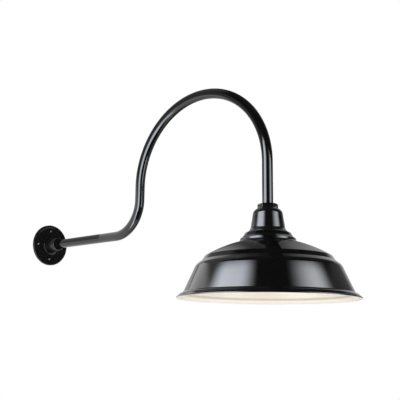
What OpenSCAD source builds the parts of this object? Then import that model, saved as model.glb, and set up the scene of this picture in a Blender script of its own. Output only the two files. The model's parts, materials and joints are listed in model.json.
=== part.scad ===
// Gooseneck barn light for an outdoor wall
// Frame: origin at the centre of the wall plane, the wall on the +Y side, the arm out along -Y, +Z up.

/* [Arm] */
// Outside diameter of the arm tube
tube_d = 26.67; // [21:0.01:34]
// Wall of the arm tube
tube_wall = 2.1; // [1.5:0.1:3]
// Level run, from the wall plane to the start of the lower bend
level_run = 315; // [150:1:500]
// Centreline radius of the lower bend
lower_bend_r = 95; // [60:1:160]
// Straight riser between the two bends
riser_len = 38; // [10:1:150]
// Centreline radius of the half-turn at the top
arch_r = 222; // [150:1:320]
// Straight drop from the half-turn to the tube's lower end
drop_len = 129; // [90:1:300]

/* [Wall flange] */
// Diameter of the wall flange
flange_d = 127; // [118:1:160]
// Thickness of the flange plate, without its rim
plate_t = 6; // [5:0.5:10]
// How far the rim stands up from the plate
rim_rise = 1.6; // [0.8:0.1:4]
// Width of the raised rim
rim_w = 6.5; // [4:0.5:9]
// Diameter of the hub where it grows out of the plate
hub_base_d = 54; // [48:1:66]
// Diameter of the hub at its mouth
hub_mouth_d = 38; // [36:1:46]
// How far the hub stands out from the flange's back face
hub_len = 48; // [42:1:70]
// How far the set screw stands back from the hub's mouth
set_screw_back = 16; // [12:1:18]
// Circle that the wall screws stand on
bolt_circle_d = 88.9; // [86:0.1:95]
// Hole for a wall screw
bolt_hole_d = 6.5; // [4:0.1:7]
// Spot face round each wall screw hole
spot_face_d = 14; // [10:0.5:15]
// Depth of the spot faces
spot_face_depth = 0.8; // [0.3:0.1:1.5]
// Diameter of the wiring recess in the back
recess_d = 70; // [62:1:74]
// Depth of the wiring recess
recess_depth = 2.5; // [1:0.1:3]
// Diameter of the wire pit inside the hub
pit_d = 32; // [28:1:34]
// Depth from the wall plane to the inner end of the arm tube
tube_start = 20; // [16:1:24]
// Thickness of the wall gasket
wall_gasket_t = 2; // [1:0.1:4]

/* [Socket cap] */
// Size across the flats of the hexagon
hex_flats = 42.8; // [41:0.1:50]
// Height of the hexagon
hex_h = 10.5; // [8:0.5:16]
// How far the hexagon's foot stands above the tube's end
hex_foot = 13.5; // [12:0.5:20]
// Radius of the bell's shoulder
bell_shoulder_r = 16; // [12:0.5:18]
// Radius of the bell where the shoulder ends
bell_top_r = 36.2; // [35:0.1:42]
// How far the bell's side spreads on its way down
bell_spread = 5.4; // [2:0.1:8]
// How far the bell's foot flares out
bell_flare = 6.7; // [4:0.1:10]
// Depth of the bell's straight side below the tube's end
bell_side_depth = 37; // [34:1:50]
// Height of the flared foot
bell_flare_h = 8; // [6:0.5:12]
// Wall of the cast cap
cap_wall = 3; // [2.5:0.1:4]

/* [Shade] */
// Diameter of the shade over its rolled rim
shade_d = 432; // [380:1:500]
// Thickness of the shade's sheet
shade_t = 1.2; // [0.8:0.1:2]
// How far the neck's top stands out past the cap's foot
neck_margin = 5.8; // [5:0.1:14]
// Height of the neck
neck_h = 10.5; // [8:0.5:18]
// How far the neck widens to its foot
neck_flare = 5.6; // [1:0.1:8]
// How far the collar stands out past the neck's foot
collar_step = 6.6; // [4:0.1:10]
// Height of the slope between neck and collar
collar_slope_h = 4.3; // [3:0.1:8]
// Height of the collar
collar_h = 7.6; // [6:0.1:14]
// How far the dome bulges above a straight line
dome_bulge = 2.5; // [1:0.1:6]
// Width of the first ring round the dome
ring_1_w = 8.8; // [7:0.1:12]
// Height of the dome between collar and first ring
dome_h = 30; // [20:0.1:60]
// Width of the steep band between the two rings
band_w = 6.9; // [5:0.1:10]
// Height of the steep band
band_h = 10.8; // [8:0.1:16]
// Width of the second ring, out to the shoulder
ring_2_w = 14.5; // [12:0.1:20]
// Height of the skirt
skirt_h = 64; // [40:0.1:120]
// How far the skirt spreads
skirt_w = 28.9; // [15:0.1:45]
// Width of the flared lip, out to the rim
lip_w = 15.8; // [10:0.1:25]
// Height of the flared lip
lip_h = 11; // [6:0.1:15]
// How far the lip bulges above a straight line
lip_bulge = 1.8; // [0.5:0.1:2.5]
// Radius of the rolled bead at the rim
bead_r = 1.7; // [1.3:0.1:2.5]
// Thickness of the gasket between cap and shade
shade_gasket_t = 1.2; // [0.6:0.1:2]

/* [Lampholder] */
// Radius of the porcelain body
holder_r = 24; // [23:0.5:27]
// How far the skirt round the porcelain's mouth stands out
holder_skirt_w = 2.5; // [2:0.1:3]
// Depth of the porcelain's top face below the tube's end
holder_depth = 10; // [8:0.5:13]
// Thickness of the upper porcelain piece
holder_top_h = 12; // [11:0.5:16]
// Height of the lower porcelain piece
holder_body_h = 35; // [33:0.5:45]
// Height of the skirt at the mouth
holder_skirt_h = 8; // [7:0.5:12]
// Inside radius of the screw shell
shell_r = 13.4; // [13.2:0.05:13.8]
// Sheet thickness of the screw shell
shell_t = 0.5; // [0.3:0.05:0.6]
// Length of the screw shell's straight wall
shell_len = 25; // [22:0.5:28]
// Porcelain between the shell's bore and the screw pockets
pocket_wall = 1.4; // [1.2:0.1:1.6]
// Depth of the wiring well in the upper porcelain piece
well_depth = 7; // [6:0.5:8]

/* [Contact] */
// Radius of the contact button
button_r = 5; // [4:0.1:5.5]
// Radius of the contact's stem
stem_r = 2.2; // [1.8:0.1:2.4]
// How far the contact can be pressed in
contact_travel = 1.5; // [0.5:0.1:2]
// Wire of the contact spring
spring_wire_d = 0.6; // [0.4:0.1:0.8]
// Turns of the contact spring
spring_turns = 4; // [3:1:6]

/* [Fasteners] */
// Diameter of the two set screws
set_screw_d = 6; // [5:0.5:6]
// Length of the flange's set screw
flange_set_len = 10; // [8:0.5:12]
// Length of the cap's set screw
cap_set_len = 8; // [6:0.5:9]
// Diameter of the machine screws
screw_d = 4; // [3:0.5:4]
// Head diameter of the machine screws
screw_head_d = 7.2; // [6.5:0.1:7.6]
// Head height of the machine screws
screw_head_h = 2.4; // [2:0.1:3]
// Thickness of the washers
washer_t = 0.8; // [0.5:0.1:1]
// How far each machine screw reaches into the casting
screw_bite = 8; // [6:0.5:9]
// Distance from the axis to each shade screw
shade_screw_r = 34; // [33.5:0.1:35]
// Number of shade screws
shade_screw_count = 3; // [3:1:4]

/* [Wires] */
// Diameter of an insulated wire
wire_d = 2.6; // [2:0.1:3]
// Gap between the two wires
wire_gap = 0.1; // [0.1:0.1:0.5]
// Bend radius where the wires swing over to the middle of the drop
wire_swing_r = 60; // [40:1:80]
// Wall of the bushings in the tube's ends
bushing_wall = 1.2; // [0.8:0.1:1.5]
// Length of a bushing inside the tube
bushing_len = 10; // [6:1:16]

/* [Setting] */
// How far round the head is screwed on the arm
head_set = 6; // [-30:1:30]

/* [Hidden] */
$fn = 96;

// Clearances and small fixed sizes
run_fit = 0.05;
slip_fit = 0.2;
screw_fit = 0.3;
over = 1;
set_gap = 0.15;
lip_t = 1.2;
lip_inset = 0.4;
seat_t = 2.8;
seat_relief = 0.5;
gasket_inset = 1.5;
edge_break = 1;
wall_clear = 0.8;

// The arm in its own plane: outward from the wall, and up
tube_r = tube_d / 2;
bore_r = tube_r - tube_wall;
riser_out = level_run + lower_bend_r;
arch_mid = riser_out + arch_r;
arch_level = lower_bend_r + riser_len;
reach = arch_mid + arch_r;
tube_end = arch_level - drop_len;

// Wires lie low in the level run, so on the inner side of the half-turn
bushing_bore_r = bore_r - run_fit - bushing_wall;
seat_hole_r = bushing_bore_r + seat_relief;
wire_side = (wire_d + wire_gap) / 2;
wire_low = sqrt(pow(bushing_bore_r - wire_d / 2 - 0.1, 2) - pow(wire_side, 2));
swing_angle = acos(1 - wire_low / (2 * wire_swing_r));
wire_straight = 4;
swing_end = tube_end + bushing_len + wire_straight;
swing_start = swing_end + 2 * wire_swing_r * sin(swing_angle);
wire_start = 4;

// Flange, measured out from the wall plane
flange_back = wall_gasket_t;
plate_face = flange_back + plate_t;
rim_face = plate_face + rim_rise;
hub_face = flange_back + hub_len;
seat_face = tube_start - lip_t;
pit_end = seat_face - seat_t;
ground_margin = 6.5;
ground_r = pit_d / 2 + ground_margin;
ground_bore_depth = 7;
ground_washer_r = 4.2;
recess_face = flange_back + recess_depth;
ground_seat = recess_face - washer_t;
slot_w = 1;
slot_depth = 1.2;
set_screw_out = hub_face - set_screw_back;
rim_round = 3;
hub_cove_r = 5;
hub_mouth_round = 2.5;

// Cap, measured up from the tube's lower end
seat_z = -lip_t;
roof_inner_z = seat_z - seat_t;
boss_wall = 4.2;
boss_r = tube_r + boss_wall;
bell_low_r = bell_top_r + bell_spread;
bell_foot_r = bell_low_r + bell_flare;
bell_depth = bell_side_depth + bell_flare_h;
shoulder_drop = 0.5;
shoulder_mid = [bell_top_r - bell_shoulder_r, hex_foot - shoulder_drop - bell_shoulder_r];
side_angle = atan(bell_spread / bell_side_depth);
cove_r = 9;
cove_tuck = 0.1;
cove_mid_r = hex_flats / 2 - cove_tuck + cove_r;
cove_mid_out = cove_mid_r - shoulder_mid[0];
cove_mid_up = sqrt(pow(bell_shoulder_r + cove_r, 2) - pow(cove_mid_out, 2));
cove_mid = [cove_mid_r, shoulder_mid[1] + cove_mid_up];
shoulder_start = atan2(cove_mid_up, cove_mid_out);
roof_angle = 44;
shoulder_inner_r = bell_shoulder_r - cap_wall;
roof_z = shoulder_mid[1] + shoulder_inner_r * sin(roof_angle);
cap_set_z = hex_foot + hex_h / 2;
hex_r = hex_flats / (2 * cos(30));
post_r = 4.6;
post_root = 0.5;
lug_r = 5;
lug_cover = 5;
lug_h = screw_bite + lug_cover;
bell_waist_round = 8;
bell_edge_h = 0.4;
bell_edge_in = 1;
bell_edge_slope = 0.4;
hex_bevel_h = 1.8;
hex_bevel_in = 0.4;

// Lampholder, measured up from the tube's lower end
holder_top = -holder_depth;
holder_joint = holder_top - holder_top_h;
holder_mouth = holder_joint - holder_body_h;
holder_skirt_r = holder_r + holder_skirt_w;
well_r = 6.5;
well_floor = holder_top - well_depth;
terminal_t = 0.6;
line_tab_w = 3;
line_tab_h = 4;
line_tab_gap = 0.5;
skirt_round = 1.5;
shell_back = 1;
shell_mouth = holder_mouth + shell_back;
shell_shoulder = shell_mouth + shell_len;
shell_slope_h = 3.8;
shell_slope_in = 1;
shell_roof = shell_shoulder + shell_slope_h;
shell_hole_r = 6.5;
button_t = 2;
button_stop = 0.5;
button_top = shell_roof - button_stop - contact_travel;
contact_lip = 1.2;
contact_head_r = stem_r + contact_lip;
contact_head_t = 1;
spring_play = 0.3;
spring_end_gap = 0.05;
spring_hole_r = stem_r + contact_lip + wall_clear;
spring_r = stem_r + spring_play + spring_wire_d / 2;
strip_y = 10;
tab_y = 4.6;
tab_groove = 1.6;
strip_w = 4;
screw_pocket_h = 5.5;
screw_pocket_r = screw_head_d / 2 + screw_fit;
holder_screw_seat = holder_mouth + screw_pocket_h;
holder_screw_r = shell_r + shell_t + slip_fit + pocket_wall + screw_pocket_r;

// Shade, measured up from the tube's lower end
cap_foot_z = -bell_depth;
shade_top = cap_foot_z - shade_gasket_t;
neck_clear = 1.5;
neck_hole_r = holder_skirt_r + neck_clear;
shade_edge_r = shade_d / 2;
screw_r = screw_d / 2;
set_r = set_screw_d / 2;
socket_r = set_r * 0.55;
cross_w = screw_head_d * 0.6;
tap_depth = screw_bite + 1;
washer_extra = 0.8;

// A point list for part of a circle
function arc(mid, r, from, to, n) =
    [for (i = [0:n]) mid + r * [cos(from + (to - from) * i / n), sin(from + (to - from) * i / n)]];

// Points from a to b on an arc that bulges to the left of the straight line
function bulge(a, b, rise, n) =
    let (
        half = norm(b - a) / 2,
        r = (pow(half, 2) + pow(rise, 2)) / (2 * rise),
        out = unit([a[1] - b[1], b[0] - a[0]]),
        mid = (a + b) / 2 + out * (rise - r),
        start = atan2(a[1] - mid[1], a[0] - mid[0]),
        sweep = -2 * asin(half / r)
    )
    [for (i = [0:n]) mid + r * [cos(start + sweep * i / n), sin(start + sweep * i / n)]];

function unit(v) = v / norm(v);

function flat(p) = [p[0], p[1]];

// The shorter way round from one direction to another
function way(from, to) = (to - from + 540) % 360 - 180;

// Points that round the corner at p, between a and b, as far as its two sides let it
function corner(a, p, b, r, n) =
    let (
        u = unit(a - p),
        v = unit(b - p),
        half = acos(u * v) / 2,
        fit = min(r, 0.9 * min(norm(a - p), norm(b - p)) * tan(half)),
        mid = p + unit(u + v) * fit / sin(half),
        first = p + u * fit / tan(half) - mid,
        last = p + v * fit / tan(half) - mid,
        start = atan2(first[1], first[0])
    )
    arc(mid, fit, start, start + way(start, atan2(last[1], last[0])), n);

// An outline of [x, y, corner radius] points, with its inner corners rounded
function rounded(pts, n = 6) = [
    for (i = [0:len(pts) - 1])
        each (i == 0 || i == len(pts) - 1 || pts[i][2] == 0)
            ? [flat(pts[i])]
            : corner(flat(pts[i - 1]), flat(pts[i]), flat(pts[i + 1]), pts[i][2], n)
];

function right_of(a, b) = let (d = unit(b - a)) [d[1], -d[0]];

// A point list moved sideways by t, for the other face of a sheet
function sideways(pts, t) = [
    for (i = [0:len(pts) - 1])
        let (
            n0 = right_of(pts[max(i - 1, 0)], pts[max(i, 1)]),
            n1 = right_of(pts[min(i, len(pts) - 2)], pts[min(i + 1, len(pts) - 1)]),
            m = unit(n0 + n1)
        )
        pts[i] + m * t / (m * n0)
];

// Triangles of a tube whose rings of points follow each other along a path
function tube_faces(rings, sides) =
    let (last = (rings - 1) * sides)
    concat(
        [for (k = [1:sides - 2]) [0, k + 1, k]],
        [for (k = [1:sides - 2]) [last, last + k, last + k + 1]],
        [for (i = [0:rings - 2], k = [0:sides - 1])
            let (a = i * sides + k, b = i * sides + (k + 1) % sides)
            each [[a, b, b + sides], [a, b + sides, a + sides]]]
    );

function backward(pts) = [for (i = [len(pts) - 1:-1:0]) pts[i]];

// Local z runs out from the wall, local y runs up
module on_wall() rotate([90, 0, 0]) children();

// Local x runs out from the wall, local y runs up
module arm_plane() rotate([90, 0, -90]) children();

// Local origin at the middle of the tube's lower end
module at_head() translate([0, -reach, tube_end]) rotate([0, 0, head_set]) children();

// A hole that starts at a face and goes up from it
module hole_up(r, face, depth) {
    translate([0, 0, face - over]) cylinder(r = r, h = depth + over);
}

module ring(outer_r, inner_r, h) {
    difference() {
        cylinder(r = outer_r, h = h);
        translate([0, 0, -over]) cylinder(r = inner_r, h = h + 2 * over);
    }
}

// A rod that follows the arm, moved by low to the underside of the level run
module level_to_drop(r, low, start) {
    translate([start, -low, 0]) rotate([0, 90, 0]) cylinder(r = r, h = level_run - start);
    translate([level_run, lower_bend_r, 0]) rotate([0, 0, -90])
        rotate_extrude(angle = 90) translate([lower_bend_r + low, 0]) circle(r = r);
    translate([riser_out + low, lower_bend_r, 0]) rotate([-90, 0, 0]) cylinder(r = r, h = riser_len);
    translate([arch_mid, arch_level, 0])
        rotate_extrude(angle = 180) translate([arch_r - low, 0]) circle(r = r);
}

module drop(r, low, bottom, top) {
    translate([reach - low, bottom, 0]) rotate([-90, 0, 0]) cylinder(r = r, h = top - bottom);
}

module arm_tube() {
    color("#141414") arm_plane() difference() {
        union() {
            level_to_drop(tube_r, 0, tube_start);
            drop(tube_r, 0, tube_end, arch_level);
        }
        level_to_drop(bore_r, 0, tube_start - over);
        drop(bore_r, 0, tube_end - over, arch_level);
    }
}

// The middle line of a wire: along the arm, then an easy double bend to the middle of the drop
wire_path = concat(
    [[wire_start, -wire_low]],
    arc([level_run, lower_bend_r], lower_bend_r + wire_low, -90, 0, 15),
    arc([arch_mid, arch_level], arch_r - wire_low, 180, 0, 36),
    arc([reach - wire_low + wire_swing_r, swing_start], wire_swing_r, 180, 180 + swing_angle, 4),
    arc([reach - wire_swing_r, swing_end], wire_swing_r, swing_angle * 0.8, 0, 4),
    [[reach, tube_end + holder_top - 2]]
);

module wire(side) {
    sides = 8;
    rails = [for (k = [0:sides - 1]) sideways(wire_path, wire_d / 2 * cos(k * 360 / sides))];
    points = [for (i = [0:len(wire_path) - 1], k = [0:sides - 1])
        [rails[k][i][0], rails[k][i][1], side + wire_d / 2 * sin(k * 360 / sides)]];
    arm_plane() polyhedron(points, tube_faces(len(wire_path), sides));
}

module line_wire() color("#1c1c1c") wire(wire_side);

module neutral_wire() color("#e8e6df") wire(-wire_side);

// A sleeve in the tube with a lip over the tube's end
module bushing() {
    ring(bore_r - run_fit, bushing_bore_r, bushing_len);
    translate([0, 0, -lip_t]) ring(tube_r - lip_inset, bushing_bore_r, lip_t);
}

module wall_end_bushing() color("#2a2a2a") on_wall() translate([0, 0, tube_start]) bushing();

module head_end_bushing() color("#2a2a2a") at_head() bushing();

// Wall flange
function flange_outline() = rounded([
    [0, flange_back, 0],
    [flange_d / 2, flange_back, 0],
    [flange_d / 2, rim_face, rim_round],
    [flange_d / 2 - rim_w, rim_face, edge_break],
    [flange_d / 2 - rim_w - rim_rise, plate_face, edge_break],
    [hub_base_d / 2, plate_face, hub_cove_r],
    [hub_mouth_d / 2, hub_face, hub_mouth_round],
    [0, hub_face, 0]
], 5);

module around_bolts(count = 4) {
    for (i = [0:count - 1]) rotate([0, 0, i * 360 / count]) translate([bolt_circle_d / 2, 0, 0]) children();
}

module to_ground_screw() rotate([0, 0, 45]) translate([ground_r, 0, 0]) children();

// Local z runs down from the arm's axis
module to_flange_set_screw() translate([0, 0, set_screw_out]) rotate([90, 0, 0]) children();

module wall_flange() {
    color("#1b1b1a") on_wall() difference() {
        rotate_extrude() polygon(flange_outline());
        translate([0, 0, seat_face]) cylinder(r = tube_r + run_fit, h = hub_len);
        cylinder(r = seat_hole_r, h = hub_len / 2);
        cylinder(r = pit_d / 2, h = pit_end);
        cylinder(r = recess_d / 2, h = recess_face);
        around_bolts() {
            cylinder(d = bolt_hole_d, h = hub_len);
            translate([0, 0, plate_face - spot_face_depth]) cylinder(d = spot_face_d, h = rim_rise + over);
        }
        to_ground_screw() cylinder(r = screw_r + run_fit, h = recess_face + ground_bore_depth);
        to_flange_set_screw() cylinder(r = set_r + run_fit, h = hub_base_d);
    }
}

module wall_gasket() {
    color("#303030") on_wall() difference() {
        ring(flange_d / 2 - gasket_inset, recess_d / 2, wall_gasket_t);
        around_bolts() translate([0, 0, -over]) cylinder(d = bolt_hole_d, h = wall_gasket_t + 2 * over);
    }
}

module ground_washer() {
    color("#c9a14a") on_wall() to_ground_screw()
        translate([0, 0, ground_seat]) ring(ground_washer_r, screw_r + slip_fit, washer_t);
}

// Hexagon head with a slot, driven in from the back
module ground_screw() {
    color("#2f7d3c") on_wall() to_ground_screw() translate([0, 0, ground_seat]) difference() {
        union() {
            translate([0, 0, -screw_head_h]) cylinder(r = screw_head_d / 2, h = screw_head_h, $fn = 6);
            translate([0, 0, -screw_head_h]) cylinder(r = screw_r, h = screw_head_h + ground_bore_depth);
        }
        translate([-screw_head_d, -slot_w / 2, -screw_head_h - over])
            cube([2 * screw_head_d, slot_w, over + slot_depth]);
    }
}

// Grub screw with a hexagon socket, its tip just off the tube's side
module grub_screw(length) {
    translate([0, 0, tube_r + set_gap]) difference() {
        cylinder(r = set_r, h = length);
        translate([0, 0, length - set_r]) cylinder(r = socket_r, h = set_r + over, $fn = 6);
    }
}

module flange_set_screw() {
    color("#3a3a3a") on_wall() to_flange_set_screw() grub_screw(flange_set_len);
}

// Socket cap
function bell_outline() = concat(
    [[0, cove_mid[1]]],
    arc(cove_mid, cove_r, 180, 180 + shoulder_start, 6),
    [for (i = [1:8]) arc(shoulder_mid, bell_shoulder_r, shoulder_start, side_angle, 8)[i]],
    rounded([
        [bell_top_r, shoulder_mid[1], 0],
        [bell_low_r, -bell_side_depth, bell_waist_round],
        [bell_foot_r - bell_edge_in, bell_edge_h + bell_edge_slope - bell_depth, 0.5],
        [bell_foot_r, bell_edge_h - bell_depth, 0.3],
        [bell_foot_r, -bell_depth, 0],
        [0, -bell_depth, 0]
    ])
);

function bell_inside() = concat(
    [[0, roof_inner_z], [boss_r, roof_inner_z], [boss_r, roof_z]],
    arc(shoulder_mid, shoulder_inner_r, roof_angle, side_angle, 5),
    [
        [bell_low_r - cap_wall, -bell_side_depth],
        [bell_low_r - cap_wall, -bell_depth - over],
        [0, -bell_depth - over]
    ]
);

module to_cap_set_screw() rotate([0, 0, 30]) translate([0, 0, cap_set_z]) rotate([0, 90, 0]) children();

module at_holder_screws() for (side = [-1, 1]) translate([side * holder_screw_r, 0, 0]) children();

module at_shade_screws() {
    for (i = [0:shade_screw_count - 1]) rotate([0, 0, 90 + i * 360 / shade_screw_count])
        translate([shade_screw_r, 0, 0]) children();
}

module hexagon() {
    intersection() {
        translate([0, 0, hex_foot]) cylinder(r = hex_r, h = hex_h, $fn = 6);
        rotate_extrude() polygon([
            [0, hex_foot - over],
            [hex_r + over, hex_foot - over],
            [hex_r + over, hex_foot + hex_h - hex_bevel_h],
            [hex_flats / 2 - hex_bevel_in, hex_foot + hex_h],
            [0, hex_foot + hex_h]
        ]);
    }
}

module socket_cap() {
    color("#161616") at_head() difference() {
        union() {
            hexagon();
            difference() {
                rotate_extrude() polygon(bell_outline());
                rotate_extrude() polygon(bell_inside());
            }
            at_holder_screws() translate([0, 0, holder_top])
                cylinder(r = post_r, h = roof_z - holder_top + post_root);
            intersection() {
                at_shade_screws() translate([0, 0, cap_foot_z]) {
                    cylinder(r = lug_r, h = lug_h);
                    translate([0, -lug_r, 0]) cube([bell_low_r - shade_screw_r, 2 * lug_r, lug_h]);
                }
                translate([0, 0, cap_foot_z - over])
                    cylinder(r = bell_low_r - cap_wall / 2, h = bell_depth);
            }
        }
        translate([0, 0, seat_z]) cylinder(r = tube_r + run_fit, h = hex_foot + hex_h + 2 * over);
        translate([0, 0, roof_inner_z - over]) cylinder(r = seat_hole_r, h = seat_t + 2 * over);
        to_cap_set_screw() cylinder(r = set_r + run_fit, h = hex_r + over);
        at_holder_screws() hole_up(screw_r + run_fit, holder_top, tap_depth);
        at_shade_screws() hole_up(screw_r + run_fit, cap_foot_z, tap_depth);
    }
}

module cap_set_screw() {
    color("#3a3a3a") at_head() to_cap_set_screw() grub_screw(cap_set_len);
}

// Lampholder
module strip_slot() {
    translate([-strip_w / 2 - slip_fit, strip_y - slip_fit, shell_roof - over])
        cube([strip_w + 2 * slip_fit, terminal_t + 2 * slip_fit, holder_top - shell_roof + 2 * over]);
}

module lampholder_top() {
    color("#f1efe8") at_head() difference() {
        rotate_extrude() polygon(rounded([
            [0, holder_top, 0],
            [holder_r, holder_top, edge_break],
            [holder_r, holder_joint, 0],
            [0, holder_joint, 0]
        ], 4));
        translate([0, 0, well_floor]) cylinder(r = well_r, h = holder_depth);
        hole_up(stem_r + run_fit, holder_joint, holder_top_h - over);
        at_holder_screws() hole_up(screw_r + screw_fit, holder_joint, holder_top_h + over);
        strip_slot();
        translate([-strip_w / 2 - slip_fit, 0, holder_top - tab_groove])
            cube([strip_w + 2 * slip_fit, strip_y + terminal_t, tab_groove + over]);
    }
}

module lampholder_body() {
    color("#f1efe8") at_head() difference() {
        rotate_extrude() polygon(rounded([
            [0, holder_joint, 0],
            [holder_r, holder_joint, 0],
            [holder_r, holder_mouth + holder_skirt_h + skirt_round, skirt_round],
            [holder_skirt_r, holder_mouth + holder_skirt_h, edge_break],
            [holder_skirt_r, holder_mouth, skirt_round],
            [0, holder_mouth, 0]
        ], 4));
        hole_up(shell_r + shell_t + slip_fit, holder_mouth, shell_roof - holder_mouth);
        hole_up(spring_hole_r, holder_mouth, holder_body_h + over);
        at_holder_screws() {
            hole_up(screw_r + screw_fit, holder_mouth, holder_body_h + over);
            hole_up(screw_pocket_r, holder_mouth, screw_pocket_h);
        }
        strip_slot();
    }
}

module lampholder_shell() {
    color("#c8a24c") at_head() rotate_extrude() polygon([
        [shell_r, shell_mouth],
        [shell_r + shell_t, shell_mouth],
        [shell_r + shell_t, shell_shoulder],
        [shell_r - shell_slope_in, shell_roof],
        [shell_hole_r, shell_roof],
        [shell_hole_r, shell_roof - shell_t],
        [shell_r - shell_slope_in - shell_t, shell_roof - shell_t],
        [shell_r, shell_shoulder - shell_t / 2]
    ]);
}

module centre_contact() {
    color("#d0ab55") at_head() rotate_extrude() polygon(rounded([
        [0, button_top - button_t, 0],
        [button_r, button_top - button_t, 1],
        [button_r, button_top, 0],
        [stem_r, button_top, 0],
        [stem_r, well_floor + terminal_t, 0],
        [contact_head_r, well_floor + terminal_t, 0],
        [contact_head_r, well_floor + terminal_t + contact_head_t, 0.4],
        [0, well_floor + terminal_t + contact_head_t, 0]
    ], 4));
}

// Coil round the contact's stem, between the button and the upper porcelain piece
spring_low = button_top + spring_wire_d / 2 + spring_end_gap;
spring_high = holder_joint - spring_wire_d / 2 - spring_end_gap;
spring_sides = 8;
spring_steps = 16 * spring_turns;

function spring_ring(i) =
    let (
        a = i * 360 * spring_turns / spring_steps,
        climb = (spring_high - spring_low) / (2 * PI * spring_r * spring_turns),
        out = [cos(a), sin(a), 0],
        up = unit([sin(a) * climb, -cos(a) * climb, 1]),
        z = spring_low + (spring_high - spring_low) * i / spring_steps,
        mid = [spring_r * cos(a), spring_r * sin(a), z]
    )
    [for (k = [0:spring_sides - 1])
        mid + spring_wire_d / 2 * (out * cos(k * 360 / spring_sides) + up * sin(k * 360 / spring_sides))];

module contact_spring() {
    points = [for (i = [0:spring_steps]) each spring_ring(i)];
    color("#9b9b9b") at_head() polyhedron(points, tube_faces(spring_steps + 1, spring_sides));
}

module line_terminal() {
    color("#c8a24c") at_head() {
        translate([0, 0, well_floor]) ring(well_r - slip_fit, stem_r + slip_fit, terminal_t);
        translate([-line_tab_w / 2, line_tab_gap - well_r, well_floor])
            cube([line_tab_w, terminal_t, line_tab_h]);
    }
}

module neutral_terminal() {
    strip_top = holder_top - terminal_t;
    color("#bfbfbf") at_head() {
        translate([-strip_w / 2, strip_y, shell_roof]) cube([strip_w, terminal_t, strip_top - shell_roof]);
        translate([-strip_w / 2, tab_y, strip_top - terminal_t])
            cube([strip_w, strip_y + terminal_t - tab_y, terminal_t]);
    }
}

// Pan-head machine screw, head down and seat at the local origin
module machine_screw(shank) {
    difference() {
        union() {
            translate([0, 0, -screw_head_h]) cylinder(d = screw_head_d, h = screw_head_h);
            cylinder(r = screw_r, h = shank);
        }
        for (turn = [0, 90]) rotate([0, 0, turn])
            translate([-cross_w / 2, -slot_w / 2, -screw_head_h - over])
                cube([cross_w, slot_w, over + slot_depth]);
    }
}

module lampholder_screws() {
    seat = holder_screw_seat - washer_t;
    color("#b9b9b4") at_head() at_holder_screws() translate([0, 0, seat])
        machine_screw(holder_top + screw_bite - seat);
}

module lampholder_washers() {
    color("#8f8f8b") at_head() at_holder_screws() translate([0, 0, holder_screw_seat - washer_t])
        ring(screw_head_d / 2, screw_r + slip_fit, washer_t);
}

module shade_screws() {
    seat = shade_top - shade_t - washer_t;
    color("#b9b9b4") at_head() at_shade_screws() translate([0, 0, seat])
        machine_screw(cap_foot_z + screw_bite - seat);
}

module shade_washers() {
    color("#8f8f8b") at_head() at_shade_screws() translate([0, 0, shade_top - shade_t - washer_t])
        ring(screw_head_d / 2 + washer_extra, screw_r + slip_fit, washer_t);
}

module shade_gasket() {
    color("#2c2c2c") at_head() difference() {
        translate([0, 0, shade_top]) ring(bell_foot_r - gasket_inset, neck_hole_r, shade_gasket_t);
        at_shade_screws() hole_up(screw_r + screw_fit, shade_top, shade_gasket_t + over);
    }
}

// Shade: stations down its outer face, from the neck's hole to the rim
neck_r = bell_foot_r + neck_margin;
collar_r = neck_r + neck_flare + collar_step;
collar_taper = 1.1;
collar_foot_r = collar_r + collar_taper;
skirt_foot_r = shade_edge_r - lip_w;
shoulder_r = skirt_foot_r - skirt_w;
band_foot_r = shoulder_r - ring_2_w;
band_top_r = band_foot_r - band_w;
dome_foot_r = band_top_r - ring_1_w;
ring_1_slope = 30;
ring_2_slope = 36.7;
collar_foot = neck_h + collar_slope_h + collar_h;
dome_foot = collar_foot + dome_h;
band_top = dome_foot + ring_1_w * tan(ring_1_slope);
band_foot = band_top + band_h;
shoulder = band_foot + ring_2_w * tan(ring_2_slope);
skirt_foot = shoulder + skirt_h;
rim = skirt_foot + lip_h;
tight_bend = shade_t + 0.8;
neck_round = 4;
collar_round = 5;
ring_1_round = 2.5;
ring_2_round = 3;
shoulder_round = 26;
lip_round = 3;
dome_steps = 8;
lip_steps = 6;

function dome() =
    bulge([collar_foot_r, -collar_foot], [dome_foot_r, -dome_foot], dome_bulge, dome_steps);

function lip() =
    bulge([skirt_foot_r, -skirt_foot], [shade_edge_r - bead_r, -rim], lip_bulge, lip_steps);

function shade_outline() = rounded(concat(
    [
        [neck_hole_r, 0, 0],
        [neck_r, 0, neck_round],
        [neck_r + neck_flare, -neck_h, tight_bend],
        [collar_r, -neck_h - collar_slope_h, tight_bend],
        [collar_foot_r, -collar_foot, collar_round]
    ],
    [for (i = [1:dome_steps - 1]) [dome()[i][0], dome()[i][1], 0]],
    [
        [dome_foot_r, -dome_foot, neck_round],
        [band_top_r, -band_top, ring_1_round],
        [band_foot_r, -band_foot, ring_2_round],
        [shoulder_r, -shoulder, shoulder_round],
        [skirt_foot_r, -skirt_foot, lip_round]
    ],
    [for (i = [1:lip_steps]) [lip()[i][0], lip()[i][1], 0]]
));

module shade() {
    outer = shade_outline();
    color("#121212") at_head() translate([0, 0, shade_top]) difference() {
        union() {
            rotate_extrude() polygon(concat(outer, backward(sideways(outer, shade_t))));
            rotate_extrude() translate([shade_edge_r - bead_r, -rim - shade_t / 2]) circle(r = bead_r);
        }
        at_shade_screws() hole_up(screw_r + screw_fit, -shade_t, shade_t + over);
    }
}

wall_gasket();
wall_flange();
ground_washer();
ground_screw();
flange_set_screw();
arm_tube();
wall_end_bushing();
head_end_bushing();
line_wire();
neutral_wire();
socket_cap();
cap_set_screw();
lampholder_top();
lampholder_body();
lampholder_shell();
centre_contact();
contact_spring();
line_terminal();
neutral_terminal();
lampholder_screws();
lampholder_washers();
shade_gasket();
shade();
shade_screws();
shade_washers();
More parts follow.
